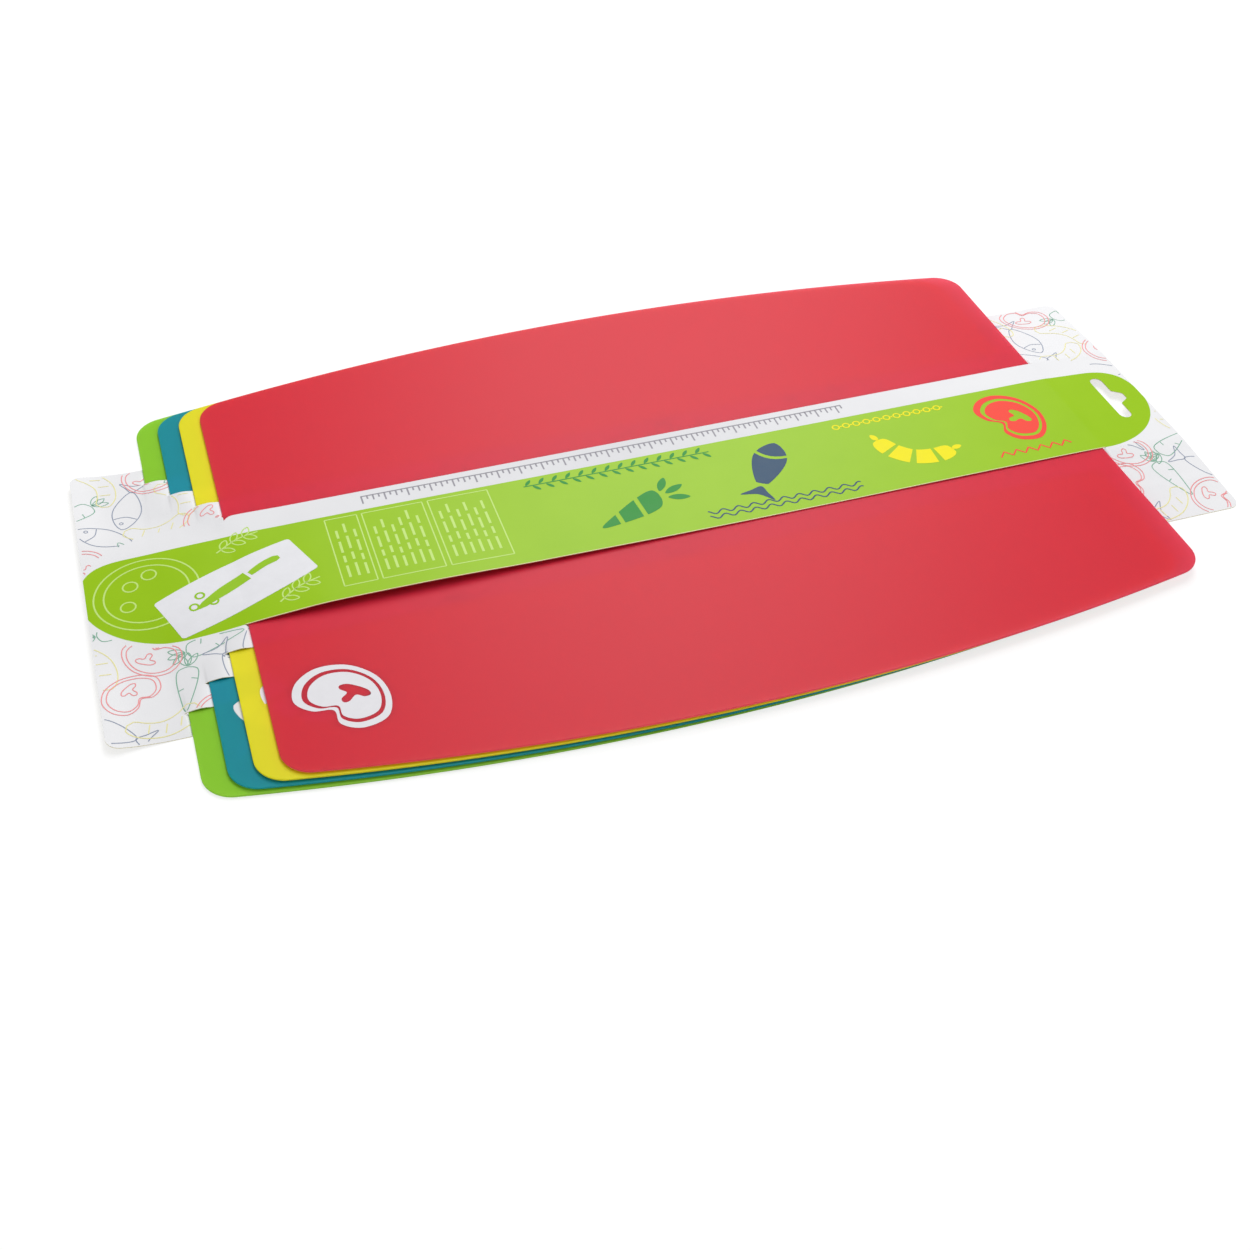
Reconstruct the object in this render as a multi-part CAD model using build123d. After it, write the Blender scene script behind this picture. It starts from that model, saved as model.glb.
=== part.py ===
from build123d import *
import os

os.makedirs("parts", exist_ok=True)

# A set of four thin cutting mats, each threaded through its own pair of slits in a hang card.
# The origin is the middle of the card on the table, +X is along the card towards its hang
# slot, +Y is away from the person who reads it, and +Z is up. All sizes are millimetres.

# Mats
mat_length = 380.0
mat_width = 271.0
mat_side = 234.0
mat_corner = 13.0
mat_thickness = 0.7
fan_step = 9.6
layer_gap = 0.1

# Card
card_thickness = 0.3
card_corner = 5.0
left_panel = 31.0
right_panel = 40.0
outer_margin = 11.7
strip_width = 69.0
band_width = 12.6
slit_width = 0.4
slit_overrun = 4.6
nick_length = 3.5
nick_depth = 2.4

# How the card is bent
end_curl = 3.0
curl_middle_share = 0.25
ridge_half = 20.0
end_arch = 2.6
strip_lift = 3.2
lift_shares = [(0, 0), (0.045, 0.5), (0.09, 1), (0.24, 1), (0.29, 0.5), (0.42, 0.05)]
lift_shares += [(0.62, 0), (0.84, 0.2), (0.95, 0.25), (1, 0)]

# Hang slot
slot_length = 32.0
slot_width = 6.0
slot_inset = 16.0
notch_width = 10.0
notch_top = 5.0
notch_height = 4.5
notch_rounding = 1.2
cut_overrun = 5.0

mat_names = ["green_mat", "teal_mat", "yellow_mat", "red_mat"]
top_mat = len(mat_names) - 1

# The card's length and width follow from the fanned mats and the slits that hold them.
layer_pitch = mat_thickness + card_thickness + 2 * layer_gap
half_slit = slit_width / 2
strip_half = strip_width / 2
card_half = strip_half + top_mat * band_width + outer_margin
card_length = left_panel + mat_length + top_mat * fan_step + right_panel
card_left = -card_length / 2
card_right = card_length / 2


def mat_left(index):
    """X of the left edge of a mat, counted from the lowest mat."""
    return card_left + left_panel + index * fan_step


def mat_right(index):
    """X of the right edge of a mat."""
    return mat_left(index) + mat_length


def slit_left(index):
    """X of the left ends of a mat's two slits."""
    return mat_left(index) - slit_overrun


def slit_right(index):
    """X of the right ends of a mat's two slits."""
    return mat_right(index) + slit_overrun


def slit_y(index):
    """Distance of a mat's two slits from the card's middle line."""
    return strip_half + (top_mat - index) * band_width


def mat_bottom(index):
    """Height of the underside of a mat, counted from the lowest mat."""
    return card_thickness + layer_gap + index * layer_pitch


def under_mat(index):
    """Height of the card's underside where it lies right under a mat."""
    return index * layer_pitch


def over_mat(index):
    """Height of the card's underside where it lies right over a mat."""
    return under_mat(index + 1)


def slit_end(index):
    """Height at which the card parts at the ends of a mat's slits: half way up the mat."""
    return (under_mat(index) + over_mat(index)) / 2


def make_mat(index):
    """One mat: straight short sides, long sides that bow outwards, rounded corners."""
    half_length = mat_length / 2
    half_side = mat_side / 2
    half_width = mat_width / 2
    right = Line((half_length, -half_side), (half_length, half_side))
    back = ThreePointArc((half_length, half_side), (0, half_width), (-half_length, half_side))
    left = Line((-half_length, half_side), (-half_length, -half_side))
    front = ThreePointArc((-half_length, -half_side), (0, -half_width), (half_length, -half_side))
    outline = make_face(Curve() + [right, back, left, front])
    outline = fillet(outline.vertices(), mat_corner)
    sheet = extrude(outline, amount=mat_thickness)
    return Pos(mat_left(index) + half_length, 0, mat_bottom(index)) * sheet


def section(x, underside):
    """The card cut square across at x: a closed outline above a row of (y, z) places."""
    lower = [Vector(x, y, z) for y, z in underside]
    upper = [Vector(x, y, z + card_thickness) for y, z in reversed(underside)]
    return Wire.make_polygon(lower + upper, close=True)


def stretch(stations):
    """One stretch of card, straight between its cuts: a list of (x, row of (y, z) places)."""
    cuts = [section(x, underside) for x, underside in stations]
    return Part() + Solid.make_loft(cuts, ruled=True)


def both_sides(half_row):
    """A row of (y, z) places from the card's middle line outwards, with its mirror image."""
    return [(-y, z) for y, z in reversed(half_row)] + half_row


def two_stretches(stations):
    """A stretch of card and its mirror image across the card's middle line."""
    mirrored = [(x, [(-y, z) for y, z in reversed(row)]) for x, row in stations]
    return stretch(stations) + stretch(mirrored)


def ridge(x):
    """Height of the card's underside along its middle, from the curled left edge to the strip.
    It is straight, as the strip carries it over the mats' left edges."""
    share = (x - card_left) / (slit_left(top_mat) - card_left)
    return end_curl + share * (slit_end(top_mat) - end_curl)


def ridged(x, height, outer_row):
    """A row of places with the ridge in its middle, as wide as the strip at its foot."""
    foot = slit_y(top_mat) - half_slit
    return both_sides([(ridge_half, ridge(x)), (foot, height)] + outer_row)


def make_left_panel():
    """The plain left end, which curls up off the table towards its edge."""
    inner = slit_y(0) - half_slit
    outer = slit_y(0) + half_slit
    middle = (card_left + slit_left(0)) / 2
    curl = curl_middle_share * end_curl
    places = [(card_left, end_curl, end_curl), (middle, curl, curl + slit_end(0) / 2)]
    places.append((slit_left(0), 0, slit_end(0)))
    stations = []
    for x, edge, height in places:
        stations.append((x, ridged(x, height, [(inner, height), (outer, height), (card_half, edge)])))
    return stretch(stations)


def make_climb():
    """The middle of the card climbs over the mats' left edges, and sheds a band at each."""
    climb = Part()
    for index in range(top_mat):
        half = slit_y(index) - half_slit
        places = [(slit_left(index), slit_end(index)), (mat_left(index), over_mat(index))]
        places.append((slit_left(index + 1), slit_end(index + 1)))
        climb += stretch([(x, ridged(x, height, [(half, height)])) for x, height in places])
    return climb


def make_margins():
    """The two long outer margins, which lie on the table under all the mats."""
    inner = slit_y(0) + half_slit
    places = [(slit_left(0), slit_end(0)), (mat_left(0), under_mat(0))]
    places += [(mat_right(0), under_mat(0)), (slit_right(0), slit_end(0))]
    return two_stretches([(x, [(inner, height), (card_half, 0)]) for x, height in places])


def make_bands():
    """The narrow bands: each lies over one mat and under the next, on both sides."""
    bands = Part()
    for index in range(1, top_mat + 1):
        inner = slit_y(index) + half_slit
        outer = slit_y(index - 1) - half_slit
        level = under_mat(index)
        start = slit_end(index)
        places = [(slit_left(index), start, start), (mat_left(index), level, level)]
        places.append((mat_right(index - 1), level, level))
        places.append((slit_right(index - 1), level, slit_end(index - 1)))
        stations = [(x, [(inner, low), (outer, high)]) for x, low, high in places]
        bands += two_stretches(stations)
    return bands


def outer_row(index, inner_height):
    """Places from one slit out to the card's long edge, at the heights of the slits' ends."""
    row = [(slit_y(index) + half_slit, inner_height)]
    for wider in range(index - 1, -1, -1):
        row.append((slit_y(wider) - half_slit, slit_end(wider)))
        row.append((slit_y(wider) + half_slit, slit_end(wider)))
    return row + [(card_half, 0)]


def make_descent():
    """Right of each mat the bands join the margins again, one after the other."""
    descent = Part()
    for index in range(1, top_mat + 1):
        places = [(slit_right(index - 1), under_mat(index)), (mat_right(index), under_mat(index))]
        places.append((slit_right(index), slit_end(index)))
        descent += two_stretches([(x, outer_row(index, height)) for x, height in places])
    return descent


def make_strip():
    """The strip across all the mats. Its front edge stands up near the left end."""
    half = slit_y(top_mat) - half_slit
    height = over_mat(top_mat)
    start = slit_end(top_mat)
    stations = [(slit_left(top_mat), both_sides([(half, start)]))]
    for place_share, lift_share in lift_shares:
        row = [(-half, height + lift_share * strip_lift), (half, height)]
        stations.append((mat_left(top_mat) + place_share * mat_length, row))
    stations.append((slit_right(top_mat), both_sides([(half, start)])))
    return stretch(stations)


def make_right_panel():
    """The right end, arched from the strip's height down to the corners on the table."""
    half = slit_y(top_mat) - half_slit
    start = slit_end(top_mat)
    near = [(half, start)] + outer_row(top_mat, start)
    far = [(y, height * end_arch / start) for y, height in near]
    return stretch([(slit_right(top_mat), both_sides(near)), (card_right, both_sides(far))])


def hang_slot():
    """The hole for a display peg: a round-ended slot with a notch towards the end."""
    bar = Rot(0, 0, 90) * SlotOverall(slot_length, slot_width)
    notch_end = slot_width / 2 + notch_height
    foot = notch_width / 2
    shoulder = notch_top / 2
    corners = [(0, -foot), (slot_width / 2, -foot), (notch_end, -shoulder)]
    corners += [(notch_end, shoulder), (slot_width / 2, foot), (0, foot)]
    notch = make_face(Polyline(*corners, close=True))
    tips = notch.vertices().sort_by(Axis.X)[-2:]
    outline = bar + fillet(tips, notch_rounding)
    height = over_mat(top_mat) + card_thickness + cut_overrun
    return Pos(card_right - slot_inset, 0, 0) * extrude(outline, amount=height)


def strip_nick():
    """A small rounded nick in the strip's back edge, where it meets the top mat's left edge."""
    left = mat_left(top_mat)
    edge = slit_y(top_mat)
    corner = (left, edge - nick_depth)
    far = (left + nick_length, edge)
    hollow = (left + nick_length / 3, edge - nick_depth / 3)
    lines = [Line((left, edge), corner), ThreePointArc(corner, hollow, far), Line(far, (left, edge))]
    height = over_mat(top_mat) + card_thickness + cut_overrun
    floor = Pos(0, 0, mat_bottom(top_mat))
    return floor * extrude(make_face(Curve() + lines), amount=height)


def make_card():
    """The whole card, with its slits, strip, margins and rounded corners, as one sheet."""
    card = make_left_panel()
    card += make_climb()
    card += make_margins()
    card += make_bands()
    card += make_descent()
    card += make_strip()
    card += make_right_panel()
    card -= hang_slot()
    card -= strip_nick()
    height = over_mat(top_mat) + strip_lift + card_thickness + cut_overrun
    blank = extrude(RectangleRounded(card_length, 2 * card_half, card_corner), amount=height)
    return card & blank


parts = {"hang_card": make_card()}
for number, name in enumerate(mat_names):
    parts[name] = make_mat(number)

for name, shape in parts.items():
    export_step(shape, "parts/" + name + ".step")
    box = shape.bounding_box()
    print(name, "volume", round(shape.volume), "from", box.min, "to", box.max)
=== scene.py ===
import math

import bmesh
import bpy
import numpy as np
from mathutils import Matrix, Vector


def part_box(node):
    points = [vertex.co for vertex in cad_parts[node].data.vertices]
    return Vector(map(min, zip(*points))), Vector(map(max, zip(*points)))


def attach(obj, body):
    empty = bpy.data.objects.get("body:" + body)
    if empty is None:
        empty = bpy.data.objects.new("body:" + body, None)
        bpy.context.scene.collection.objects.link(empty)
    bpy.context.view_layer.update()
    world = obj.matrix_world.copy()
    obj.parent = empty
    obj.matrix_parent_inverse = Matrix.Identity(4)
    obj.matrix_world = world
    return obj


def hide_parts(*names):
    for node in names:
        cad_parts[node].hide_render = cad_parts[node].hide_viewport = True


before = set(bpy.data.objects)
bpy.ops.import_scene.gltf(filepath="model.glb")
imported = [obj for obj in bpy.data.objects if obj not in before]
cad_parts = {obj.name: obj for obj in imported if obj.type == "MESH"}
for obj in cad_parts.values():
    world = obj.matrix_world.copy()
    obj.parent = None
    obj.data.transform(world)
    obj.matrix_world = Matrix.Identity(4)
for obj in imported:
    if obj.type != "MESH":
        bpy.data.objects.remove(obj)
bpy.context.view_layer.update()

# The hang card: one die-cut sheet of coated white card, printed on its upper face. Four pairs
# of slits part it into a strip over all the mats, bands between them and a margin under them.
# The mats hold it up in soft bends, with a ridge from the strip down to the curled left edge.

# Sizes are millimetres from the middle of the card, on the table, and MM turns them into
# metres. Mats and slits are counted from the lowest mat up.
MM = 0.001
colours = ["green", "teal", "yellow", "red"]
top_mat = len(colours) - 1


def node_box(name):
    """The lowest and the highest corner of a CAD node, in millimetres."""
    return np.round(np.array([list(corner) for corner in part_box(name)]) / MM, 4)


mat_boxes = [node_box(colour + "_mat") for colour in colours]
mat_left = np.array([box[0, 0] for box in mat_boxes])
mat_right = np.array([box[1, 0] for box in mat_boxes])
card_box = node_box("hang_card")

# The card's two ends lie a hair inside its CAD box.
inside_box = 0.02
card_left, card_right = card_box[:, 0] + [inside_box, -inside_box]
card_half = card_box[1, 1]
card_thickness = 0.3
card_corner = 5.0

# The slits: y of each pair, from the lowest mat's to the top mat's, how far they are cut past
# the mats' edges, and how far past them they stand open.
slit_y = np.array([72.3, 59.7, 47.1, 34.5])
half_slit = 0.1
slit_overrun = 4.6
open_overrun = 1.5
slit_left = mat_left - slit_overrun
slit_right = mat_right + slit_overrun
strip_half = slit_y[top_mat] - half_slit

# Heights of the card's underside: under each mat, over it, and where the card parts for it,
# at the left and at the right ends of its slits. The strip's right end is a little higher.
layer_pitch = 1.2
strip_extra = 0.3
under_mat = np.round(np.arange(len(colours)) * layer_pitch, 4)
over_mat = under_mat + layer_pitch
parting = (under_mat + over_mat) / 2
right_parting = parting + [0, 0, 0, strip_extra]

# The bends: the left edge's curl, the right end's arch, the ridge's crest and foot, and the
# strip's two long edges, of which the front one stands off the top mat near its left end.
end_curl = 3.0
middle_curl = end_curl / 4
panel_middle = (card_left + slit_left[0]) / 2
end_arch = 2.6
ridge_places = np.array([card_left, -228, -216, -204, -192, mat_left[top_mat]])
ridge_heights = np.array([end_curl, 3.25, 3.65, 4.2, 4.6, over_mat[top_mat]])
ridge_half = 14.0
foot_places = np.array([-213.0, -200.0, slit_left[top_mat]])
foot_widths = np.array([52.0, 46.0, strip_half])
strip_lift = 3.2
front_shares = np.array([0, 0.045, 0.09, 0.13, 0.19, 0.24, 0.3, 0.36, 0.42, 0.48, 0.56, 0.66,
                         0.84, 0.94, 1])
lift_shares = np.array([0, 0.5, 0.85, 0.9, 0.87, 0.74, 0.5, 0.38, 0.26, 0.16, 0.08, 0.04,
                        0.1, 0.08, 0])
front_places = front_shares * (mat_right[top_mat] - mat_left[top_mat])
front_heights = lift_shares * strip_lift
back_places = np.array([0, 7, 28, 350, 368, 380])
back_heights = np.array([0, 0.28, 0, 0, 0.1, 0])


def cubic(t, first, first_slope, last, last_slope):
    """The cubic in t that has one value and slope at t = 0 and another value and slope at 1."""
    start = first * (1 + 2 * t) * (1 - t) ** 2 + first_slope * t * (1 - t) ** 2
    end = last * t**2 * (3 - 2 * t) + last_slope * t**2 * (t - 1)
    return start + end


def smooth_run(x, places, heights):
    """Heights along a line: a cubic from place to place. Its slope at a place is the harmonic
    mean of the straight slopes on both sides, or level where these differ in sign, and at each
    end it is the last straight slope."""
    step = np.diff(places)
    slope = np.diff(heights) / step
    both = slope[:-1] * slope[1:]
    mean = 2 * both / np.where(both > 0, slope[:-1] + slope[1:], 1)
    tangent = np.concatenate([slope[:1], np.where(both > 0, mean, 0), slope[-1:]])
    span = np.clip(np.searchsorted(places, x) - 1, 0, len(step) - 1)
    length = step[span]
    t = (x - places[span]) / length
    return cubic(t, heights[span], length * tangent[span], heights[span + 1], length * tangent[span + 1])


def ease(share):
    """An S curve from 0 to 1: three times the square of a share less twice its cube, with the
    share clipped to 0 and 1."""
    share = np.clip(share, 0, 1)
    return share**2 * (3 - 2 * share)


def card_line(slit, inside, lifted=False):
    """Places and heights along one side of a slit: up the left end, over the mats' left edges
    that this side climbs, level between the mats, and down to the arched right end. Inside is
    the side next to the card's middle, and lifted is for the strip's front edge."""
    line = [(card_left, end_curl), (panel_middle, middle_curl + parting[0] / 2)]
    line.append((slit_left[0], parting[0]))
    climbed = slit + 1 if inside else slit
    for step in range(climbed):
        line.append((mat_left[step], over_mat[step]))
        if step < top_mat:
            line.append((slit_left[step + 1], parting[step + 1]))
    if climbed <= top_mat:
        line += [(mat_left[climbed], under_mat[climbed]), (mat_right[slit], under_mat[climbed])]
    else:
        places = front_places if lifted else back_places
        heights = front_heights if lifted else back_heights
        line[-1:] = zip(mat_left[top_mat] + places, over_mat[top_mat] + heights)
    line.append((slit_right[slit], right_parting[slit]))
    line.append((card_right, parting[slit] * end_arch / parting[top_mat]))
    return np.array(line).T


edge_line = np.array([(card_left, end_curl), (panel_middle, middle_curl), (slit_left[0], 0),
                      (card_right, 0)]).T
half_lines = [(card_half, edge_line)]
for number, distance in enumerate(slit_y):
    half_lines.append((distance + half_slit, card_line(number, inside=False)))
    half_lines.append((distance - half_slit, card_line(number, inside=True)))
back_edge = half_lines[-1][1]
front_edge = card_line(top_mat, inside=True, lifted=True)

# The card's cells along x: a cut at each place where something starts or ends, and more cuts
# between those, evenly. The block is the stretch of the strip around the hang slot, and the
# nick is a small cut in the strip's back edge.
longest_cell = 2.5
slot_inset = 16.0
slot_x = card_box[1, 0] - slot_inset
slot_block = (slot_x - 10.0, slot_x + 12.5)
corner_bow = card_corner * (1 - np.cos(np.linspace(0, math.pi / 2, 8)))
closing = open_overrun * np.array([1, 0.75, 0.5, 0.25])
nick_length = 3.5
nick_depth = 2.4
nick_cuts = [0.01, 1.2, 2.4, nick_length]
fixed = [edge_line[0], front_edge[0], back_edge[0], slit_left, slit_right, mat_left, mat_right]
fixed += [np.subtract.outer(mat_left, closing).ravel(), np.add.outer(mat_right, closing).ravel()]
fixed += [card_left + corner_bow, card_right - corner_bow, mat_left[top_mat] + nick_cuts]
fixed += [slot_block, [slot_x]]
fixed_x = np.unique(np.round(np.concatenate(fixed), 4))
spans = [np.linspace(start, end, 1 + math.ceil((end - start) / longest_cell))
         for start, end in zip(fixed_x[:-1], fixed_x[1:])]
card_x = np.unique(np.concatenate(spans))

# The lines along the card, from its front edge to its back edge: the edge itself and both
# sides of each slit. The two sides of a slit meet where it is shut, past the mat's edges.
line_y = np.array([-y for y, _ in half_lines] + [y for y, _ in half_lines[::-1]])
last_line = len(line_y) - 1
strip_row = len(half_lines) - 1
half_z = [smooth_run(card_x, *line) for _, line in half_lines]
line_z = np.array(half_z[:-1] + [smooth_run(card_x, *front_edge)] + half_z[::-1])
for slit in range(len(slit_y)):
    shut = ease(np.maximum(mat_left[slit] - card_x, card_x - mat_right[slit]) / open_overrun)
    outer = 1 + 2 * slit
    for sides in ([outer, outer + 1], [last_line - outer, last_line - outer - 1]):
        met = line_z[sides[1]] if slit == top_mat else line_z[sides].mean(0)
        line_z[sides] += (met - line_z[sides]) * shut


def card_height(x, y, row=None):
    """Height of the card's underside: each line's height at x, and straight from one line to
    the next in y. The ridge is laid over that, with flanks that ease in and out of the sheet.
    row names the two lines where y lies on a slit's side."""
    x, y = np.broadcast_arrays(x, y)
    if row is None:
        row = np.clip(np.searchsorted(line_y, y) - 1, 0, last_line - 1)
    row = np.broadcast_to(row, x.shape)
    at_x = np.array([np.interp(x, card_x, heights) for heights in line_z])
    low = np.take_along_axis(at_x, row[None], 0)[0]
    high = np.take_along_axis(at_x, row[None] + 1, 0)[0]
    share = np.clip((y - line_y[row]) / (line_y[row + 1] - line_y[row]), 0, 1)
    height = low + (high - low) * share
    rise = np.maximum(smooth_run(x, ridge_places, ridge_heights) - height, 0)
    rise = np.where(x < mat_left[top_mat], rise, 0)
    foot = np.interp(x, foot_places, foot_widths)
    return height + rise * ease((foot - np.abs(y)) / (foot - ridge_half))


def nearest(values, wanted):
    """The number of the value that lies nearest to each wanted one."""
    return [int(np.argmin(np.abs(values - one))) for one in wanted]


# The outline across y: rounded corners, and the nick, which starts at the top mat's left edge.
# A band has four cells between its slits, a margin six and a slit one. A slit's row is filled
# only where the slit is shut, and the strip's row leaves out the block's middle.
from_end = np.minimum(card_x - card_left, card_right - card_x)
short = np.clip(card_corner - from_end, 0, card_corner)
outer_y = card_half - (card_corner - np.sqrt(card_corner**2 - short**2))
along_nick = np.clip((card_x - mat_left[top_mat]) / nick_length, 0, 1)
nick = np.where(card_x >= mat_left[top_mat] + nick_cuts[0], nick_depth * (1 - along_nick) ** 2, 0)
block_half = 20.0
block_cuts = 33
side_cuts = 6
strip_cuts = np.concatenate([np.linspace(-strip_half, -block_half, side_cuts)[:-1],
                             np.linspace(-block_half, block_half, block_cuts),
                             np.linspace(block_half, strip_half, side_cuts)[1:]])
row_cells = np.full(last_line, 4)
row_cells[1::2] = 1
row_cells[[0, -1]] = 6

grids = []
for row, cells in enumerate(row_cells):
    if row == strip_row:
        y = np.tile(strip_cuts, (len(card_x), 1))
        y[:, -1] -= nick
    else:
        low = -outer_y if row == 0 else np.full(len(card_x), line_y[row])
        high = outer_y if row == last_line - 1 else np.full(len(card_x), line_y[row + 1])
        y = low[:, None] + (high - low)[:, None] * np.linspace(0, 1, cells + 1)
    x = np.tile(card_x[:, None], (1, y.shape[1]))
    grid = np.stack([x, y, card_height(x, y, row)], -1)
    if row % 2:
        slit = min(row - 1, last_line - 2 - row) // 2
        opens, closes = nearest(card_x, (mat_left[slit] - open_overrun, mat_right[slit] + open_overrun))
        grids += [grid[:opens + 1], grid[closes:]]
    elif row == strip_row:
        first, last = nearest(card_x, slot_block)
        low_cut, high_cut = nearest(strip_cuts, (-block_half, block_half))
        block = grid[first:last + 1]
        grids += [grid[:first + 1], grid[last:], block[:, :low_cut + 1], block[:, high_cut:]]
        block_x = card_x[first:last + 1]
        block_y = strip_cuts[low_cut:high_cut + 1]
    else:
        grids.append(grid)

# The hang slot in it: a round-ended slot for a display peg, 32 mm long, with a notch towards
# the card's end. It is punched, so its edge is square.

slot_half = 16.0
slot_radius = 3.0
notch_side = [(7.5, 0), (7.5, 1.5), (7.1, 2.3), (3.3, 4.8), (slot_radius, 5.3)]


def plan_points(x, y):
    """Plan points from their x and y, either of which may be one number for all."""
    return np.stack(np.broadcast_arrays(x, y), -1)


def run_lengths(points):
    """The length of a broken line from its start to each of its points."""
    return np.concatenate([[0], np.cumsum(np.linalg.norm(np.diff(points, axis=0), axis=1))])


def walk(points, shares):
    """Points along a broken line at given shares of its length."""
    run = run_lengths(points)
    return np.stack([np.interp(shares * run[-1], run, points[:, axis]) for axis in (0, 1)], 1)


round_end = np.linspace(0, math.pi, 13)
arc = plan_points(slot_radius * np.cos(round_end),
                  slot_half - slot_radius + slot_radius * np.sin(round_end))
hole_side = np.concatenate([notch_side, arc, [(-slot_radius, 0)]])
peak = len(notch_side) + len(arc) // 2
middle = nearest(block_x, [slot_x])[0]
right_x = block_x[middle:] - slot_x
left_x = block_x[middle::-1] - slot_x
up_y = block_y[block_cuts // 2:]
right_quarter = np.concatenate([plan_points(right_x[-1], up_y), plan_points(right_x[-2::-1], up_y[-1])])
left_quarter = np.concatenate([plan_points(left_x, up_y[-1]), plan_points(left_x[-1], up_y[-2::-1])])

# The cells around the slot are rings from its edge out to the block's edge, made in quarters.
# Near the slot the rings are narrower.
ring_growth = 1.3
spread = np.linspace(0, 1, 6)[:, None, None] ** ring_growth
for outside, inside in ((right_quarter, hole_side[:peak + 1]), (left_quarter, hole_side[peak:])):
    run = run_lengths(outside)
    hole = walk(inside, run / run[-1])
    plan = hole + (outside - hole) * spread
    for half in (plan, plan * [1, -1]):
        x, y = half[..., 0] + slot_x, half[..., 1]
        grids.append(np.stack([x, y, card_height(x, y, strip_row)], -1))

# The card's finish: off-white coated stock with a faint fibre grain, and a bright green band
# with round ends printed along the strip. Cut edges and the back show the bare, creamier stock.
# The white is painted lighter towards the card's ends and darker towards its middle, which is
# painted light, and a painted highlight runs along the strip's front edge.

merge_distance = 1e-6
sharp_angle = math.radians(30)


def grid_quads(grid):
    """The corners of a grid's quads, four points a row. A grid is a surface over two parameters;
    a quad that faces down is turned over."""
    quads = np.stack([grid[:-1, :-1], grid[1:, :-1], grid[1:, 1:], grid[:-1, 1:]], 2).reshape(-1, 4, 3)
    across = np.cross(quads[:, 2] - quads[:, 0], quads[:, 3] - quads[:, 1])[:, 2]
    return np.where(across[:, None, None] < 0, quads[:, ::-1], quads)


def merged_mesh(name, corners, faces, closed=False):
    """A mesh from corners in millimetres and faces of four corner numbers. Corners that meet
    are merged, and a closed mesh has its faces turned outwards."""
    mesh = bpy.data.meshes.new(name)
    mesh.from_pydata(corners.reshape(-1, 3) * MM, [], faces.reshape(-1, 4).tolist())
    shape = bmesh.new()
    shape.from_mesh(mesh)
    bmesh.ops.remove_doubles(shape, verts=shape.verts, dist=merge_distance)
    if closed:
        bmesh.ops.recalc_face_normals(shape, faces=shape.faces)
    shape.to_mesh(mesh)
    shape.free()
    return mesh


def sheet_mesh(name, quads):
    """One open mesh from the corners of its quads."""
    return merged_mesh(name, quads, np.arange(4 * len(quads)))


def add_piece(mesh, body, material, thickness=0.0):
    """Puts a mesh in the scene as a piece. A thickness in millimetres grows the surface into a
    closed sheet, upwards; edges sharper than 30 degrees stay sharp."""
    piece = bpy.data.objects.new(mesh.name, mesh)
    bpy.context.scene.collection.objects.link(piece)
    if thickness:
        sheet = piece.modifiers.new("thickness", "SOLIDIFY")
        sheet.thickness = thickness * MM
        sheet.offset = 1
        sheet.use_even_offset = True
        graph = bpy.context.evaluated_depsgraph_get()
        piece.data = bpy.data.meshes.new_from_object(piece.evaluated_get(graph))
        piece.data.name = mesh.name
        piece.modifiers.clear()
    piece.data.polygons.foreach_set("use_smooth", np.ones(len(piece.data.polygons), bool))
    piece.data.set_sharp_from_angle(angle=sharp_angle)
    piece.data.materials.clear()
    piece.data.materials.append(material)
    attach(piece, body)
    return piece


class Wire:
    """One socket of a material's nodes. Arithmetic on it adds the Math nodes that it needs."""

    def __init__(self, tree, socket=None):
        self.tree = tree
        self.socket = socket

    def node(self, kind, settings=None, inputs=None, output=0):
        """Adds a node: its settings first, then the values or links of its inputs."""
        made = self.tree.nodes.new(kind)
        for key, value in (settings or {}).items():
            setattr(made, key, value)
        for key, value in (inputs or {}).items():
            if isinstance(value, Wire):
                value.into(made.inputs[key])
            else:
                made.inputs[key].default_value = value
        return Wire(self.tree, made.outputs[output])

    def into(self, socket):
        """Links this wire to a socket of another node."""
        self.tree.links.new(self.socket, socket)

    def math(self, operation, *values, clamp=False):
        """A Math node on this socket and up to two more values."""
        inputs = dict(enumerate((self,) + values))
        return self.node("ShaderNodeMath", {"operation": operation, "use_clamp": clamp}, inputs)

    def part(self, axis):
        """One coordinate of a vector: 0, 1 or 2."""
        return self.node("ShaderNodeSeparateXYZ", None, {0: self}, axis)

    def clipped(self):
        """This value, held between 0 and 1."""
        return self.math("ADD", 0, clamp=True)

    def above(self, level, blur):
        """A mask that goes from 0 to 1 over a width of blur, centred on a level."""
        return ((self - level) / blur + 0.5).clipped()

    def tint(self, low, high):
        """A colour between two colours: low where this value is 0, high where it is 1."""
        return self.node("ShaderNodeMix", {"data_type": "RGBA"}, {0: self, 6: low, 7: high}, 2)

    def noise(self, scale, detail=2.0, roughness=0.5):
        """Noise over these coordinates, at a scale per metre."""
        inputs = {"Vector": self, "Scale": scale, "Detail": detail, "Roughness": roughness}
        return self.node("ShaderNodeTexNoise", None, inputs)

    def bump(self, strength, distance):
        """A normal that is tilted as if these heights, times a distance in metres, stood up."""
        inputs = {"Strength": strength, "Distance": distance, "Height": self}
        return self.node("ShaderNodeBump", None, inputs)

    def __add__(self, other):
        return self.math("ADD", other)

    def __sub__(self, other):
        return self.math("SUBTRACT", other)

    def __rsub__(self, other):
        return self.math("MULTIPLY", -1.0) + other

    def __mul__(self, other):
        return self.math("MULTIPLY", other)

    def __truediv__(self, other):
        return self.math("DIVIDE", other)

    __radd__ = __add__
    __rmul__ = __mul__


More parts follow.
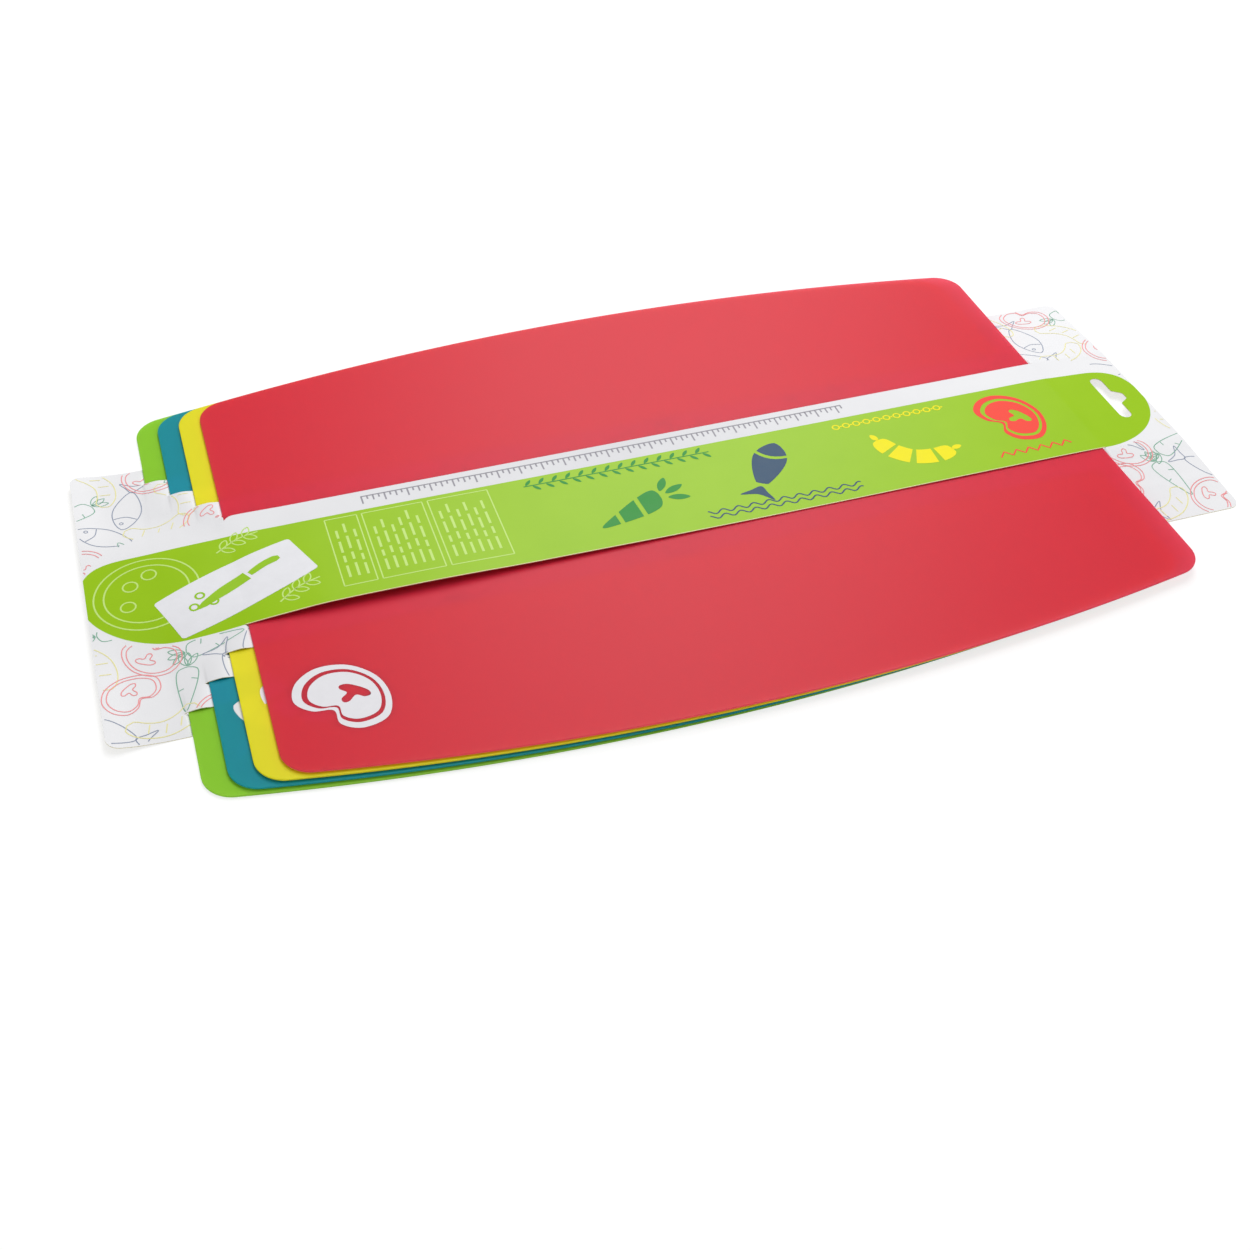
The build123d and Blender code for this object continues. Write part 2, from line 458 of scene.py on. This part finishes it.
def linear(red, green, blue):
    """A colour as it shows on a screen, 0 to 255 a channel, in the units that shaders use. It
    is the screen's curve: a small share of 255 over 12.92, and a larger one plus 0.055, over
    1.055, to the power of 2.4."""
    share = np.array([red, green, blue]) / 255
    light = np.where(share <= 0.04045, share / 12.92, ((share + 0.055) / 1.055) ** 2.4)
    return tuple(light) + (1.0,)


def new_material(name):
    """A material with one Principled shader. Gives it back with the object's coordinates."""
    material = bpy.data.materials.new(name)
    material.use_nodes = True
    shader = material.node_tree.nodes["Principled BSDF"]
    return material, shader, Wire(material.node_tree).node("ShaderNodeTexCoord", output=3)


# The printed band, in millimetres from its middle: its tips, its near and its far edge, and
# how long its round ends are on each side. Along the strip's cut front edge a painted highlight,
# in the bare stock's cream, runs over a quarter of a millimetre of the top face.
band_shift = 1.0
band_tip = 241.1
near_edge = slit_y[top_mat]
far_edge = 21.2
near_end = 40.0
far_end = 22.0
edge_highlight_width = 0.26
card_gloss = 0.14

# On the band's outline two shares, how far a place is into the round end and how far across,
# add up to 1 when both are raised to the power of 2 on the near side or 2.8 on the far side.
card_material, shader, place = new_material("coated_card")
x_mm = place.part(0) * 1000
y_mm = place.part(1) * 1000
far_side = place.part(1).above(0.0, 0.0001)
along = (x_mm + band_shift).math("ABSOLUTE")
end_length = near_end + far_side * (far_end - near_end)
past_end = (along - band_tip + end_length).math("MAXIMUM", 0.0) / end_length
across = y_mm.math("ABSOLUTE") / (near_edge + far_side * (far_edge - near_edge))
bend = far_side * 0.8 + 2
band = 1 - (past_end.math("POWER", bend) + across.math("POWER", bend)).above(1.0, 0.01)

mottle = place.noise(scale=60.0, detail=3.0)
fibre = place.noise(scale=1400.0, detail=3.0, roughness=0.7)
green = mottle.tint(linear(145, 190, 2), linear(152, 196, 9))
# Painted light: the white is lighter towards both ends of the card and darker towards its middle, with a
# random mottle over that.
painted_light_and_mottle = (along / card_right + (mottle - 0.5) * 0.25).clipped()
white = painted_light_and_mottle.tint(linear(209, 209, 212), linear(232, 232, 234))
bare = fibre.tint(linear(228, 218, 168), linear(240, 232, 192))

# The strip's front edge is a cut one. Over the top mat's length a painted highlight in the bare
# stock's cream runs along it on the top face, and stands in for the lit cut edge.
facing_up = place.node("ShaderNodeTexCoord", output=1).part(2).above(0.6, 0.2)
from_cut = (y_mm + strip_half).math("ABSOLUTE")
painted_edge_highlight = (from_cut * -1).above(-edge_highlight_width, 0.12) * x_mm.above(mat_left[top_mat] - 1, 1.0)
painted_edge_highlight = painted_edge_highlight * (1 - x_mm.above(mat_right[top_mat] + 1, 1.0))
finish = (facing_up * (1 - painted_edge_highlight)).tint(bare, band.tint(white, green))
finish.into(shader.inputs["Base Color"])
(0.62 - facing_up * 0.2 + (fibre - 0.5) * 0.1).into(shader.inputs["Roughness"])
fibre.bump(strength=0.12, distance=0.00005).into(shader.inputs["Normal"])
shader.inputs["Specular IOR Level"].default_value = card_gloss

card_mesh = sheet_mesh("printed_hang_card", np.concatenate([grid_quads(grid) for grid in grids]))
card = add_piece(card_mesh, "card", card_material, card_thickness)
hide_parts("hang_card")

# The mats: four sheets of satin polypropylene, 0.7 mm thick, stamped to one outline and held in
# the card's slits. The sheet is slightly translucent, so what lies under a mat changes its tone.

mat_thickness = 0.7
mat_length = 380.0
mat_width = 271.0
mat_side = 234.0
mat_corner = 13.0

# A mat's two faces are rings: four from the middle out, as shares of the way, and two near the
# edge, by how far in they lie. The edge between the faces is rounded.
inner_shares = (0.0, 0.25, 0.5, 0.75)
rim_insets = [6.0, 1.0]
edge_round = 0.16


def mat_outline():
    """Points and outward normals of a mat's outline: straight short sides, long sides that are
    arcs of one large circle, and a small circle that touches both at each corner. A quarter is
    worked out, and mirrored twice. It is as wide as the CAD node's box, whose arcs are facets,
    and that is a hair under the full width."""
    half_length = mat_length / 2
    half_width = mat_boxes[0][1, 1]
    bow = half_width - mat_side / 2
    radius = (half_length**2 + bow**2) / (2 * bow)
    centre_y = half_width - radius
    corner_x = half_length - mat_corner
    corner_y = centre_y + math.sqrt((radius - mat_corner) ** 2 - corner_x**2)
    tilt = math.atan2(corner_x, corner_y - centre_y)
    side = np.linspace(0, 1, 13)[:-1]
    turn = np.linspace(0, math.pi / 2 - tilt, 13)
    bowed = np.linspace(tilt, 0, 49)[1:]
    turn_normals = plan_points(np.cos(turn), np.sin(turn))
    bow_normals = plan_points(np.sin(bowed), np.cos(bowed))
    points = np.concatenate([plan_points(half_length, side * corner_y),
                             turn_normals * mat_corner + [corner_x, corner_y],
                             bow_normals * radius + [0, centre_y]])
    normals = np.concatenate([plan_points(1.0, 0.0 * side), turn_normals, bow_normals])
    outline = np.stack([points, normals])
    outline = np.concatenate([outline, outline[:, -2::-1] * [-1, 1]], 1)
    return np.concatenate([outline, outline[:, -2:0:-1] * [1, -1], outline[:, :1]], 1)


def mat_surface(index):
    """A mat as a profile carried round its outline: from the middle of the top out to the edge,
    round the edge, and back to the middle of the underside."""
    points, normals = mat_outline()
    quarter = np.linspace(0, math.pi / 2, 5)
    inset = np.concatenate([rim_insets, edge_round * (1 - np.sin(quarter))])
    depth = np.concatenate([np.zeros(len(rim_insets)), edge_round * (1 - np.cos(quarter))])
    rims = [points - normals * distance for distance in inset]
    inner = [rims[0] * share for share in inner_shares]
    plan = np.array(inner + rims + rims[::-1] + inner[::-1])
    flat = np.zeros(len(inner))
    drop = np.concatenate([flat, depth, mat_thickness - depth[::-1], flat + mat_thickness])
    top = mat_boxes[index][1, 2]
    middle = (mat_left[index] + mat_right[index]) / 2
    z = np.broadcast_to((top - drop)[:, None], plan.shape[:2])
    return np.stack([plan[..., 0] + middle, plan[..., 1], z], -1)


def closed_mesh(name, grid):
    """A mesh from one grid that closes on itself."""
    number = np.arange(grid[..., 0].size).reshape(grid.shape[:2])
    faces = np.stack([number[:-1, :-1], number[1:, :-1], number[1:, 1:], number[:-1, 1:]], -1)
    return merged_mesh(name, grid, faces, closed=True)


def mat_material(name, dull, bright, spread):
    """Satin polypropylene: a cloudy tone, a fine matt grain and a few dust specks. spread is
    the share of the light that goes on through the surface and is scattered behind it."""
    material, shader, place = new_material(name)
    cloud = place.noise(scale=9.0, detail=2.0)
    grain = place.noise(scale=2200.0, detail=2.0, roughness=0.6)
    cells = {"Vector": place, "Scale": 38.0}
    near = 1 - place.node("ShaderNodeTexVoronoi", None, cells).above(0.018, 0.01)
    rare = place.node("ShaderNodeTexVoronoi", None, cells, 1).part(0).above(0.93, 0.01)
    dark = tuple(0.6 * channel for channel in dull[:3]) + (1.0,)
    (near * rare).tint(cloud.tint(dull, bright), dark).into(shader.inputs["Base Color"])
    (0.32 + grain * 0.12 + cloud * 0.06).into(shader.inputs["Roughness"])
    wave = place.noise(scale=5.0, detail=1.0) * 0.9 + grain * 0.02
    wave.bump(strength=0.25, distance=0.0004).into(shader.inputs["Normal"])
    shader.inputs["IOR"].default_value = 1.49
    shader.inputs["Specular IOR Level"].default_value = 0.3
    tint = tuple(channel**0.25 for channel in bright)
    glow = place.node("ShaderNodeBsdfTranslucent", None, {"Color": tint})
    solid = Wire(material.node_tree, shader.outputs[0])
    sheet = place.node("ShaderNodeMixShader", None, {0: spread, 1: solid, 2: glow})
    sheet.into(material.node_tree.nodes["Material Output"].inputs["Surface"])
    return material


mat_tones = {
    "green": (linear(158, 225, 46), linear(165, 230, 54), 0.5),
    "teal": (linear(10, 162, 182), linear(14, 169, 189), 0.5),
    "yellow": (linear(255, 243, 20), linear(255, 248, 28), 0.41),
    "red": (linear(240, 49, 76), linear(245, 57, 84), 0.6),
}
for index, colour in enumerate(colours):
    name = colour + "_mat"
    material = mat_material(colour + "_polypropylene", *mat_tones[colour])
    mesh = closed_mesh(colour + "_cutting_mat", mat_surface(index))
    sheet = add_piece(mesh, colour, material)
    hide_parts(name)

# The pattern: loose line drawings of four foods, printed all over the card but for the strip
# and a clear band beside it. Each ink is one thin film, closed all round, that lies on the
# card's upper face, and the films are a step apart in height, so that they don't meet.

ink_lift = 0.03
ink_thickness = 0.01
ink_step = 0.011
ink_gloss = 0.14
edge_clear = 0.4
end_clear = 0.2
slit_clear = 0.05
clear_band = 0.6


def through(places, closed=False, cuts=8):
    """A smooth path through places: between two of them it is a cubic whose slope at each place
    is half the way from the place before it to the place after it."""
    points = np.array(places, float)
    before = np.roll(points, 1, 0) if closed else np.concatenate([points[:1], points[:-1]])
    after = np.roll(points, -1, 0) if closed else np.concatenate([points[1:], points[-1:]])
    slope = (after - before) / 2
    first = np.arange(len(points) if closed else len(points) - 1)
    second = (first + 1) % len(points)
    t = np.linspace(0, 1, cuts, endpoint=False)[:, None, None]
    path = cubic(t, points[first], slope[first], points[second], slope[second])
    path = path.transpose(1, 0, 2).reshape(-1, 2)
    return path if closed else np.concatenate([path, points[-1:]])


def ribbon(path, half_width, closed=False, columns=2):
    """A line of ink: rows square to the path, half a width to either side of it."""
    path = np.array(path, float)
    ahead = np.roll(path, -1, 0) - np.roll(path, 1, 0) if closed else np.gradient(path, axis=0)
    ahead = ahead / np.linalg.norm(ahead, axis=1)[:, None]
    across = plan_points(-ahead[:, 1], ahead[:, 0]) * np.broadcast_to(half_width, len(path))[:, None]
    grid = path[:, None] + across[:, None] * np.linspace(-1, 1, columns)[None, :, None]
    return np.concatenate([grid, grid[:1]]) if closed else grid


def lines(paths, closed=True, width=0.5):
    """A line drawing: a ribbon along each path."""
    return [ribbon(path, width / 2, closed) for path in paths]


def circle(x, y, radius, count=20):
    """Points of a circle at equal angles: its middle, and the radius times cosine and sine."""
    turn = np.arange(count) * 2 * math.pi / count
    return plan_points(x + radius * np.cos(turn), y + radius * np.sin(turn))


def placed(grid, x, y, turn=0.0, size=1.0):
    """Plan points scaled, turned by degrees and moved to a place."""
    angle = math.radians(turn)
    spin = np.array([[math.cos(angle), math.sin(angle)], [-math.sin(angle), math.cos(angle)]])
    return np.asarray(grid) @ spin * size + [x, y]


def all_placed(grids, x, y, turn=0.0, size=1.0):
    """Several plan grids scaled, turned and moved as one."""
    return [placed(grid, x, y, turn, size) for grid in grids]


def leaf_shape(length, half_width, count=14):
    """A leaf's straight path along x, and its half widths: a sine from end to end to the power
    of 0.7, and a hair more."""
    share = np.linspace(0, 1, count)
    return plan_points(share * length, 0.0), half_width * np.sin(math.pi * share) ** 0.7 + 0.02


def two_sides(path, half_width):
    """The outline of a ribbon: along one side of it and back along the other."""
    side = ribbon(path, half_width)
    return np.concatenate([side[:, 0], side[::-1, 1]])


def leaf_side(x, y, turn, length=8.0, half_width=1.5):
    """The outline of a leaf that starts at a place."""
    return placed(two_sides(*leaf_shape(length, half_width, 10)), x, y, turn)


carrot_side = through([(-17, 0), (-8, 2.9), (2, 4.8), (8, 4.6), (10, 1.5), (10, -1.5), (8, -4.6),
                       (2, -4.8), (-8, -2.9)], closed=True, cuts=6)
fish_side = through([(-16, 0), (-11, 4.6), (-3, 7), (5, 5.6), (13, 1.6), (13, -1.6), (5, -5.6),
                     (-3, -7), (-11, -4.6)], closed=True, cuts=6)
fish_tail = through([(13.6, 0), (17, 3.4), (21, 7), (19, 0), (21, -7), (17, -3.4)], closed=True, cuts=5)
sausage_path = through([(-15, 5), (-9, -0.5), (0, -3), (9, -0.5), (15, 5)], cuts=9)
along = np.abs(np.linspace(-1, 1, len(sausage_path)))
sausage_width = 4.4 * (1 - along**6) ** 0.5 + 0.05
chop_side = through([(-13, -1), (-11, 6), (-4, 10.5), (5, 10), (12, 5), (15, -2), (11, -8), (5, -9),
                     (1, -5.5), (-4, -8), (-10, -7)], closed=True, cuts=6)
chop_bone = through([(-2, 3), (0, 4.4), (5, 4.6), (7, 3.4), (6, 2), (3.6, 1.6), (3.2, -1), (2, -2),
                     (0.8, -1), (1, 1.4), (-1.4, 1.8)], closed=True, cuts=6)

carrot_leaves = [leaf_side(11, 0, turn) for turn in (-32, 0, 32)]
carrot_cuts = [through([(-4, 3.6), (-3, 1.4)], cuts=4), through([(2, -4.6), (3, -1.8)], cuts=4)]
fish_eye = circle(-11, 1.4, 0.9, 8)
fish_gill = through([(-7.6, 5.6), (-5.8, 0), (-7.6, -5.6)], cuts=8)
sausage_side = two_sides(sausage_path[::2], sausage_width[::2])
sausage_cuts = [through([(x, y - 2.4), (x + 2, y + 2.4)], cuts=5)
                for x, y in ((-8, -0.6), (-1, -3), (6, -1.6))]
drawings = {
    "carrot": lines([carrot_side] + carrot_leaves) + lines(carrot_cuts, closed=False),
    "fish": lines([fish_side, fish_tail, fish_eye]) + lines([fish_gill], closed=False),
    "sausage": lines([sausage_side]) + lines(sausage_cuts, closed=False),
    "chop": lines([chop_side, placed(chop_side, 0.2, 0, 0, 0.84), chop_bone]),
}


def flat_quads(grids):
    """The quads of plan grids, at height 0."""
    return np.concatenate([grid_quads(np.pad(grid, ((0, 0), (0, 0), (0, 1)))) for grid in grids])


def drape(grids, clear=None, lift=0.0):
    """Lays plan grids on the card: each corner goes to the height of the card's upper face
    there. Quads that cross a slit, lie past the card's edge or where clear says so are left
    out."""
    plan = flat_quads(grids)
    x, y = plan[..., 0], plan[..., 1]
    out_x, out_y = np.abs(x), np.abs(y)
    keep = (out_x.max(1) < card_right - edge_clear) & (out_y.max(1) < card_half - edge_clear)
    past_x = np.maximum(out_x - card_right + card_corner, 0)
    past_y = np.maximum(out_y - card_half + card_corner, 0)
    keep &= np.hypot(past_x, past_y).max(1) < card_corner - edge_clear
    beside = half_slit + slit_clear
    for slit, distance in enumerate(slit_y):
        start = mat_left[slit] - open_overrun - end_clear
        end = mat_right[slit] + open_overrun + end_clear
        near = (x.max(1) > start) & (x.min(1) < end)
        over = (out_y.min(1) < distance + beside) & (out_y.max(1) > distance - beside)
        keep &= ~(near & over)
    if clear is not None:
        keep &= ~clear(x, y).any(1)
    plan = plan[keep]
    plan[..., 2] = card_height(plan[..., 0], plan[..., 1]) + card_thickness + ink_lift + lift
    return plan


def on_strip(x, y):
    """Places on the printed strip and the clear band beside it: those that are nearer to its
    middle line than half its width and the clear band."""
    past = np.maximum(np.abs(x + band_shift) - (band_tip - near_edge), 0)
    return np.hypot(past, y) < near_edge + clear_band


def ink(name, red, green, blue):
    """Offset ink on coated card: one colour, a little uneven, with a soft sheen."""
    material, shader, place = new_material(name)
    patch = place.noise(scale=240.0, detail=3.0, roughness=0.6)
    thin = linear(red * 0.96, green * 0.96, blue * 0.96)
    patch.tint(thin, linear(red, green, blue)).into(shader.inputs["Base Color"])
    (0.45 + patch * 0.15).into(shader.inputs["Roughness"])
    shader.inputs["Specular IOR Level"].default_value = ink_gloss
    return material


def add_film(name, quads, material, body="card"):
    """A film of ink, closed all round, on the card or on another body."""
    add_piece(sheet_mesh(name, quads), body, material, ink_thickness)


pattern_pitch = 21.4
pattern_shift = -4.0
pattern_rows = (-75.0, -57.0, -39.0, -21.0, 21.0, 39.0, 57.0, 75.0)
pattern_size = 0.86
pattern_inks = {
    "carrot": ink("pale_green_ink", 134, 181, 158),
    "fish": ink("slate_ink", 148, 157, 177),
    "sausage": ink("pale_yellow_ink", 238, 231, 160),
    "chop": ink("pale_red_ink", 242, 152, 155),
}

# The foods take turns, no two neighbours are turned alike, and none is drawn on the strip.
scattered = {kind: [] for kind in drawings}
for column in range(-11, 12):
    for row, y in enumerate(pattern_rows):
        x = column * pattern_pitch + row % 2 * pattern_pitch / 2 + pattern_shift
        wholly_on_strip = abs(y) < 30 and abs(x) < 215
        if not wholly_on_strip:
            kind = list(drawings)[(column + 2 * row + row // 2) % len(drawings)]
            turn = 37 * column + 71 * row + 20
            scattered[kind] += all_placed(drawings[kind], x, y, turn, pattern_size)
for number, (kind, grids) in enumerate(scattered.items()):
    add_film(kind + "_pattern", drape(grids, on_strip, number * ink_step), pattern_inks[kind])

# The measuring scale: grey marks of three lengths on one grey line, printed on the white part
# of the strip. It has no numbers.

scale_width = 0.36
scale_foot = 30.2
mark_heights = (5.0, 2.2, 3.4, 2.2)
scale_marks = []
for number, x in enumerate(np.arange(-122, 103, 2.5)):
    head = scale_foot - mark_heights[number % len(mark_heights)]
    scale_marks.append(ribbon(plan_points(x, np.linspace(head, scale_foot, 4)), scale_width))
scale_marks.append(ribbon(plan_points(np.arange(-122.3, 101, 1.0), 30.4), scale_width))
add_film("measuring_scale", drape(scale_marks), ink("grey_ink", 154, 152, 160))

# The four pictures: on the printed band each mat's food is drawn as a filled shape, in an ink
# of its own colour, with a border beside it: leaves, waves, beads and a zigzag.


def between(outer, inner, rings=6):
    """A filled area from one closed path to another with as many points, or to one point, in
    equal steps along straight lines."""
    outer = np.concatenate([outer, outer[:1]])
    inner = np.broadcast_to(inner, outer[:-1].shape)
    inner = np.concatenate([inner, inner[:1]])
    share = np.linspace(0, 1, rings)[:, None, None]
    return outer + (inner - outer) * share


def ring(x, y, outer, inner):
    """A filled ring between two circles."""
    return between(circle(x, y, outer, 14), circle(x, y, inner, 14), 2)


def leaf(x, y, turn, length=8.0, half_width=1.5):
    """A filled leaf that starts at a place."""
    return placed(ribbon(*leaf_shape(length, half_width), columns=3), x, y, turn)


def cut_up(grid, *spans):
    """Pieces of a filled area or a path, each from one row to another."""
    return [grid[first:last] for first, last in spans]


def filled_side(side, start, end, rows, columns):
    """A shape filled between its outline's upper half and that half's mirror image."""
    upper = side[:len(side) // 2]
    x = np.linspace(start, end, rows)
    return ribbon(plan_points(x, 0.0), np.interp(x, upper[:, 0], upper[:, 1]) + 0.05, columns=columns)


def carrot_filled():
    """A carrot with its tip at the left, in three slanted pieces, and its leaves."""
    body = filled_side(carrot_side, -17, 10, 46, 5)
    slanted = body + plan_points(body[..., 1] * 0.35, 0.0)
    leaves = [leaf(12.5 - abs(y) / 3, y, y * 17) for y in (-2.2, 0, 2.2)]
    return cut_up(slanted, (0, 13), (15, 29), (31, 46)) + leaves


def fish_filled():
    """A fish with its head at the left: head, body and tail with gaps between them."""
    body = filled_side(fish_side, -16, 13.6, 50, 7)
    bowed = body + plan_points(-0.05 * body[..., 1] ** 2, 0.0)
    return cut_up(bowed, (0, 16), (18, 47)) + [between(fish_tail, (16.5, 0))]


def sausage_filled():
    """A bent sausage with three cuts across it, and its two tied ends."""
    body = ribbon(sausage_path, sausage_width, columns=6)
    ends = [leaf(-14.6, 4.8, 140, 4.6, 1.3), leaf(14.6, 4.8, 40, 4.6, 1.3)]
    return cut_up(body, (0, 9), (10, 18), (19, 27), (28, 37)) + ends


def chop_filled():
    """A chop: a rim of fat, and the meat inside it with a hole for the bone."""
    middle = chop_bone.mean(0)
    rim_inside, meat_side = [placed(chop_side - middle, *middle, 0, size) for size in (0.84, 0.74)]
    return [between(chop_side, rim_inside, 3), between(meat_side, chop_bone, 7)]


leaves = [leaf(x + shift, y, turn, 4.6, 0.8) for x in np.arange(-53, 29, 6.0)
          for shift, y, turn in ((0, 16.0, 50), (3, 15.2, -50))]
stalk = ribbon(plan_points(np.linspace(-54, 31, 86), 15.6), 0.3)
green_marks = all_placed(carrot_filled(), -11, -13, 24, 1.22) + leaves + [stalk]
add_film("green_picture", drape(green_marks), ink("dark_green_ink", 54, 147, 62))

wave_x = np.arange(16, 87, 0.5)
waves = [ribbon(plan_points(wave_x, y + 1.1 * np.sin(wave_x * 0.9)), 0.36) for y in (-25.2, -28.4)]
navy_marks = all_placed(fish_filled(), 52, -2, -122, 1.08) + waves
add_film("navy_picture", drape(navy_marks), ink("navy_ink", 60, 86, 112))

bead_y = 15.2
yellow_marks = all_placed(sausage_filled(), 118, -12, -28, 1.12)
for x in np.arange(92, 145, 5.0):
    dot_x = x + 2.5
    yellow_marks += [ring(x, bead_y, 1.9, 1.2), between(circle(dot_x, bead_y, 0.5, 8), (dot_x, bead_y), 2)]
add_film("yellow_picture", drape(yellow_marks), ink("yellow_ink", 242, 230, 4))

zigzag_x = np.arange(153, 190, 3.0)
up_down = np.arange(len(zigzag_x)) % 2 * 2 - 1
corners = plan_points(zigzag_x, -26 + 1.7 * up_down)
zigzag = np.concatenate([np.linspace(start, end, 5)[:-1]
                         for start, end in zip(corners[:-1], corners[1:])])
coral_marks = all_placed(chop_filled(), 171, -0.5, -64, 1.32) + [ribbon(zigzag, 0.4)]
add_film("coral_picture", drape(coral_marks), ink("coral_ink", 244, 74, 60))

# The pale green drawing: three boxes ruled with dashes, and at the left end a plate with three
# slices on it and two sprigs. It is one film of ink.

box_low = -27
box_high = 18.6
box_sides = ((-140.0, -126.4), (-124.2, -98.2), (-95.8, -69.6))
box_line = 0.56
rule_low = -22
rule_high = 15.0
rule_pitch = 3.7
rule_line = 1.1
pale_marks = []
for left, right in box_sides:
    box = np.array([(left, box_low), (right, box_low), (right, box_high), (left, box_high)])
    for start, end in zip(box, np.roll(box, -1, 0)):
        pale_marks.append(ribbon(np.linspace(start, end, 24), box_line / 2))
    for number, x in enumerate(np.arange(left + 3.4, right - 2, rule_pitch)):
        shorter = (number * 5 + int(-left)) % 9
        rule = plan_points(x, np.linspace(rule_low, rule_high - shorter, 30))
        dashes = cut_up(rule, (0, 8), (9, 14), (15, 23), (24, 30))
        pale_marks += [ribbon(dash, rule_line / 2) for dash in dashes]
plate = [circle(-216, -3, radius, 60) for radius in (21, 17)]
plate += [circle(x, y, 3, 16) for x, y in ((-222, 3), (-224, -9), (-214, 8))]
pale_marks += lines(plate, width=0.7)
for x, y, turn in ((-186, 12, 20), (-166, -27, 24)):
    stem = placed(through([(0, 0), (10, 2.5), (20, 1.5)], cuts=12), x, y, turn)
    sprig = [leaf_side(*stem[foot], turn + tilt, 6.0, 1.4) for foot in (4, 10, 16) for tilt in (-45, 45)]
    pale_marks += [ribbon(stem, 0.35)] + lines(sprig, width=0.6)
add_film("pale_green_drawing", drape(pale_marks), ink("light_green_ink", 198, 230, 128))

# The picture of a mat in use: a small white mat, and on it a knife and three round slices in
# bright green. The white is one film of ink, and the green another over it.

white_lift = 0.03
knife_lift = 0.07
small_length = 62
small_width = 28
small_share = np.array([small_length / mat_length, small_width / mat_width])
small_side = placed(mat_outline()[0][:-1] * small_share, -181, -11, 21)
small_mat = between(small_side, small_side.mean(0), 14)
add_film("white_picture", drape([small_mat], lift=white_lift), ink("white_ink", 232, 232, 236))

blade = through([(-20, -1), (-8, 0.4), (6, 1.2)], cuts=14)
blade_half = np.interp(blade[:, 0], [-20, -16, -6, 6], [0.1, 1.6, 2.6, 2.7])
handle = through([(7.4, 1.3), (15, 2.0), (22, 1.2)], cuts=8)
handle_half = np.interp(handle[:, 0], [7, 9, 20, 22], [1.2, 1.6, 1.9, 1.0])
knife = [ribbon(blade, blade_half, columns=4), ribbon(handle, handle_half, columns=3)]
slices = [ring(x, y, 2.2, 1.3) for x, y in ((-196, -12), (-191, -17), (-199, -18))]
knife_marks = all_placed(knife, -181, -10, 27) + slices
add_film("knife_picture", drape(knife_marks, lift=knife_lift), ink("bright_green_ink", 150, 198, 32))

# The icons: each mat has one white picture of the food that it is for, near its left front
# corner. It is a film of white ink on the plastic.

icon_ink = ink("icon_white_ink", 230, 229, 233)
icon_y = -84
icon_lift = 0.02
icons = {
    "green": (carrot_filled, 27, 55, 1.3),
    "teal": (fish_filled, 23, -30, 1.15),
    "yellow": (sausage_filled, 24, -35, 1.25),
    "red": (chop_filled, 27, -40, 1.45),
}
for index, colour in enumerate(colours):
    picture, inset, turn, size = icons[colour]
    quads = flat_quads(all_placed(picture(), mat_left[index] + inset, icon_y, turn, size))
    quads[..., 2] = mat_boxes[index][1, 2] + icon_lift
    add_film(colour + "_mat_icon", quads, icon_ink, colour)

# The studio: a white table, white all round, two large soft lamps behind and above the pack and
# a weak fill in front. The camera looks down from the front left, as in the photograph.

floor_half = 6.0
floor_drop = 0.00005
room_light = 0.38


def grey(level):
    """A grey as shaders use it, 0 to 1."""
    return (level, level, level, 1.0)


floor_corners = [(x * floor_half, y * floor_half, -floor_drop)
                 for x, y in ((-1, -1), (1, -1), (1, 1), (-1, 1))]
floor_mesh = bpy.data.meshes.new("studio_floor")
floor_mesh.from_pydata(floor_corners, [], [(0, 1, 2, 3)])
floor = bpy.data.objects.new("studio_floor", floor_mesh)
bpy.context.scene.collection.objects.link(floor)

# To the camera the table is mostly its own glow, which is stronger far off, so it looks white
# and still takes the pack's shadow. To the other rays it is plain pale grey.
floor_material, shader, spot = new_material("white_table")
seen = spot.node("ShaderNodeLightPath")
far_off = spot.node("ShaderNodeVectorMath", {"operation": "LENGTH"}, {0: spot}, 1).above(1.2, 1.4)
floor_glow = far_off.tint(grey(0.73), grey(0.96))
seen.tint(grey(0.8), grey(0.32)).into(shader.inputs["Base Color"])
seen.tint(grey(0.0), floor_glow).into(shader.inputs["Emission Color"])
shader.inputs["Emission Strength"].default_value = 1.0
shader.inputs["Roughness"].default_value = 1.0
shader.inputs["Specular IOR Level"].default_value = 0.0
floor.data.materials.append(floor_material)

world = bpy.data.worlds.new("white_room")
world.use_nodes = True
background = world.node_tree.nodes["Background"]
seen = Wire(world.node_tree).node("ShaderNodeLightPath")
(room_light + seen * (1 - room_light)).into(background.inputs["Strength"])
background.inputs["Color"].default_value = grey(1.0)
bpy.context.scene.world = world


def add_lamp(name, place, size, power):
    """A square soft lamp at a place, turned to the middle of the pack."""
    light = bpy.data.lights.new(name, "AREA")
    light.shape = "SQUARE"
    light.size = size
    light.energy = power
    lamp = bpy.data.objects.new(name, light)
    bpy.context.scene.collection.objects.link(lamp)
    lamp.location = place
    tilt = math.acos(place[2] / np.linalg.norm(place))
    lamp.rotation_euler = (tilt, 0, math.atan2(place[1], place[0]) + math.pi / 2)


add_lamp("soft_key", (0.38, 0.5, 1.45), size=0.9, power=12.0)
add_lamp("soft_fill", (-0.3, -1.4, 0.35), size=1.0, power=3.0)
add_lamp("soft_rim", (0.5, 1.38, 1.17), size=0.8, power=15.5)

camera_data = bpy.data.cameras.new("photo_camera")
camera_data.sensor_width = 36.0
camera_data.lens = 48.224
camera_data.clip_start = 0.01
camera = bpy.data.objects.new("photo_camera", camera_data)
camera.location = (-0.19253, -0.53696, 0.45463)
camera.rotation_euler = (math.radians(46.98853), math.radians(-0.45026), math.radians(-18.12386))
bpy.context.scene.collection.objects.link(camera)
bpy.context.scene.camera = camera
bpy.context.scene.view_settings.view_transform = "Standard"
